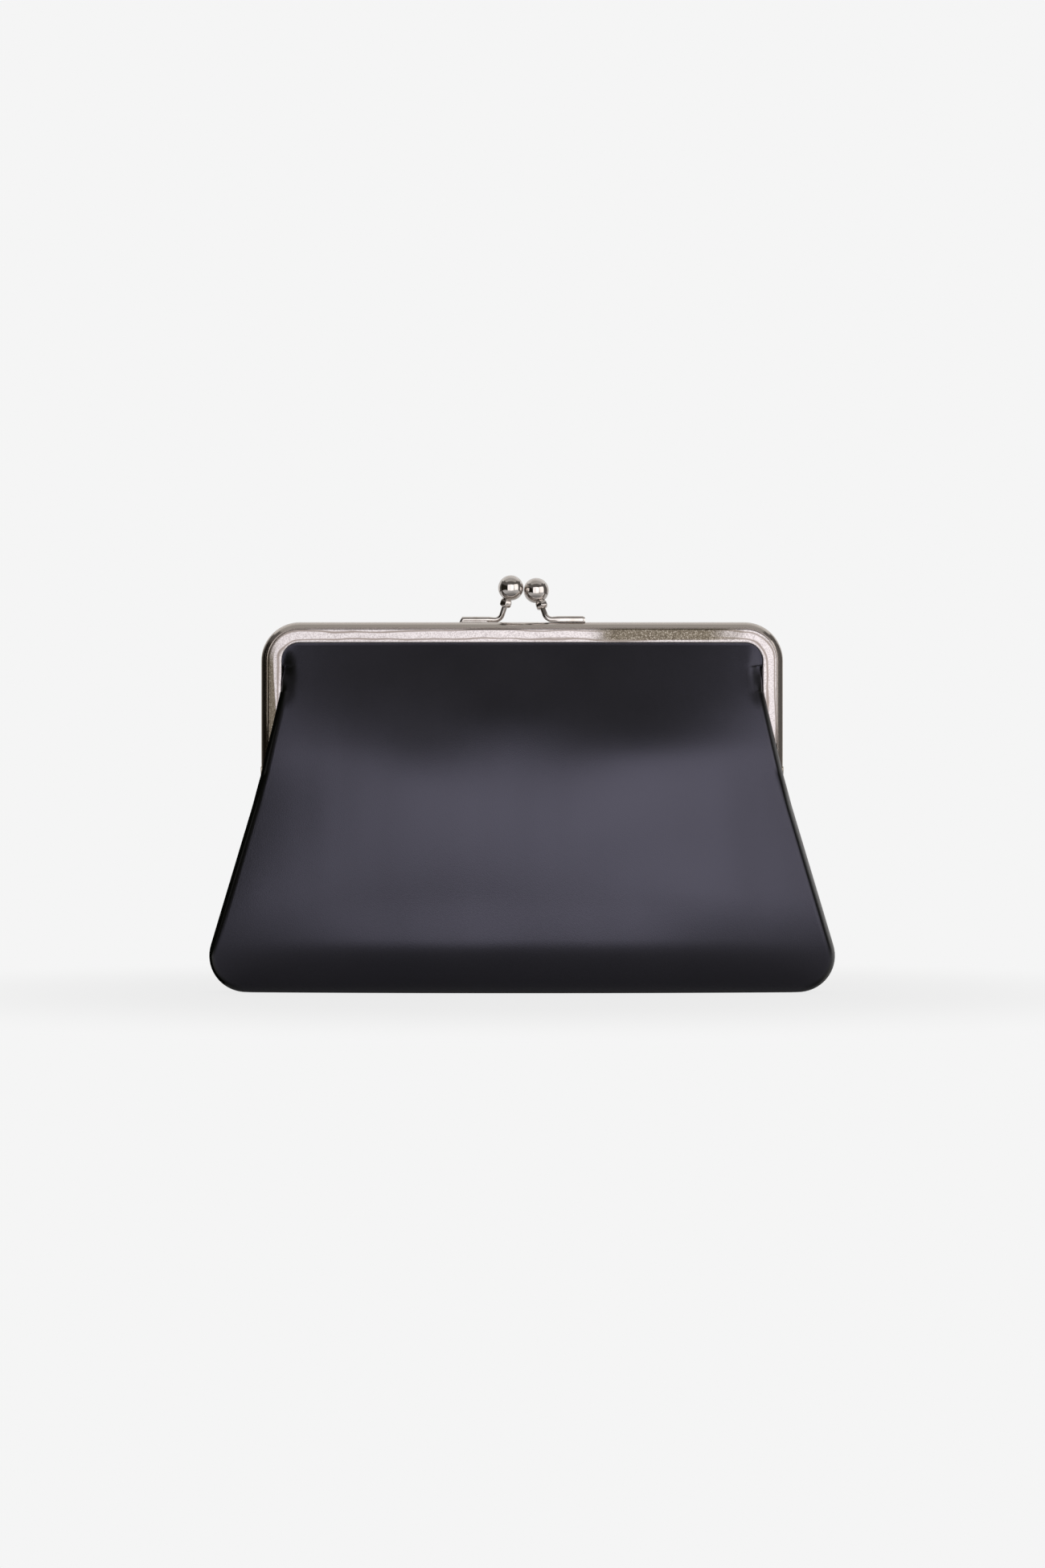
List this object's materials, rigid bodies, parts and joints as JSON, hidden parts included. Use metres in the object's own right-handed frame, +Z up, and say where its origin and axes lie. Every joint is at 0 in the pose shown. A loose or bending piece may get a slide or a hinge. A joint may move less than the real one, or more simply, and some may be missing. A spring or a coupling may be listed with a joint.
{
  "type": "kiss lock frame purse",
  "caption": "Soft leather clutch purse on a hinged metal frame that opens as a mouth and is held shut by two balls that snap past each other.",
  "frame": {"origin": "centre of the flat base that the purse stands on", "axes": "+Z up, +X along the frame to the right as seen from the front, +Y from the front to the rear"},
  "size_m": [0.2398, 0.053, 0.1598],
  "materials": {
    "leather": "smooth fine-grained black",
    "nickel": "nickel plated, lightly rippled polish",
    "lining": "charcoal woven cloth",
    "interlining": "bonded fibre stiffener",
    "paper_cord": "twisted paper",
    "rivet_steel": "plated steel"
  },
  "bodies": {
    "bag": {"front_leather_lower": "leather", "rear_leather_lower": "leather", "front_interlining": "interlining", "rear_interlining": "interlining", "hinge_rivets": "rivet_steel", "hinge_washers": "rivet_steel"},
    "front_half": {"front_frame": "nickel", "front_paper_cord": "paper_cord", "front_leather_upper": "leather", "front_leather_fold": "leather", "front_lining": "lining", "front_clasp_foot": "nickel"},
    "rear_half": {"rear_frame": "nickel", "rear_paper_cord": "paper_cord", "rear_leather_upper": "leather", "rear_leather_fold": "leather", "rear_lining": "lining", "rear_clasp_foot": "nickel"},
    "front_clasp": {"front_clasp_stem": "nickel", "front_clasp_collar": "nickel", "front_clasp_ball": "nickel"},
    "rear_clasp": {"rear_clasp_stem": "nickel", "rear_clasp_collar": "nickel", "rear_clasp_ball": "nickel"}
  },
  "joints": [
    {"name": "front_opening", "type": "hinge", "parent": "bag", "child": "front_half", "pos_m": [0, 0, 0.08], "axis": [1, 0, 0], "range_deg": [0, 45], "deforming": ["front_leather_fold", "front_lining"]},
    {"name": "rear_opening", "type": "hinge", "parent": "bag", "child": "rear_half", "pos_m": [0, 0, 0.08], "axis": [-1, 0, 0], "range_deg": [0, 45], "deforming": ["rear_leather_fold", "rear_lining"]},
    {"name": "front_clasp_flex", "type": "hinge", "parent": "front_half", "child": "front_clasp", "pos_m": [0.0116, -0.003, 0.14285], "axis": [0, 1, 0], "range_deg": [0, 3], "stiffness_Nm_per_rad": 0.4},
    {"name": "rear_clasp_flex", "type": "hinge", "parent": "rear_half", "child": "rear_clasp", "pos_m": [-0.0106, 0.003, 0.14285], "axis": [0, -1, 0], "range_deg": [0, 3], "stiffness_Nm_per_rad": 0.4}
  ],
  "couplings": [
    {"joint": "rear_opening", "follows": "front_opening", "ratio": 1}
  ]
}
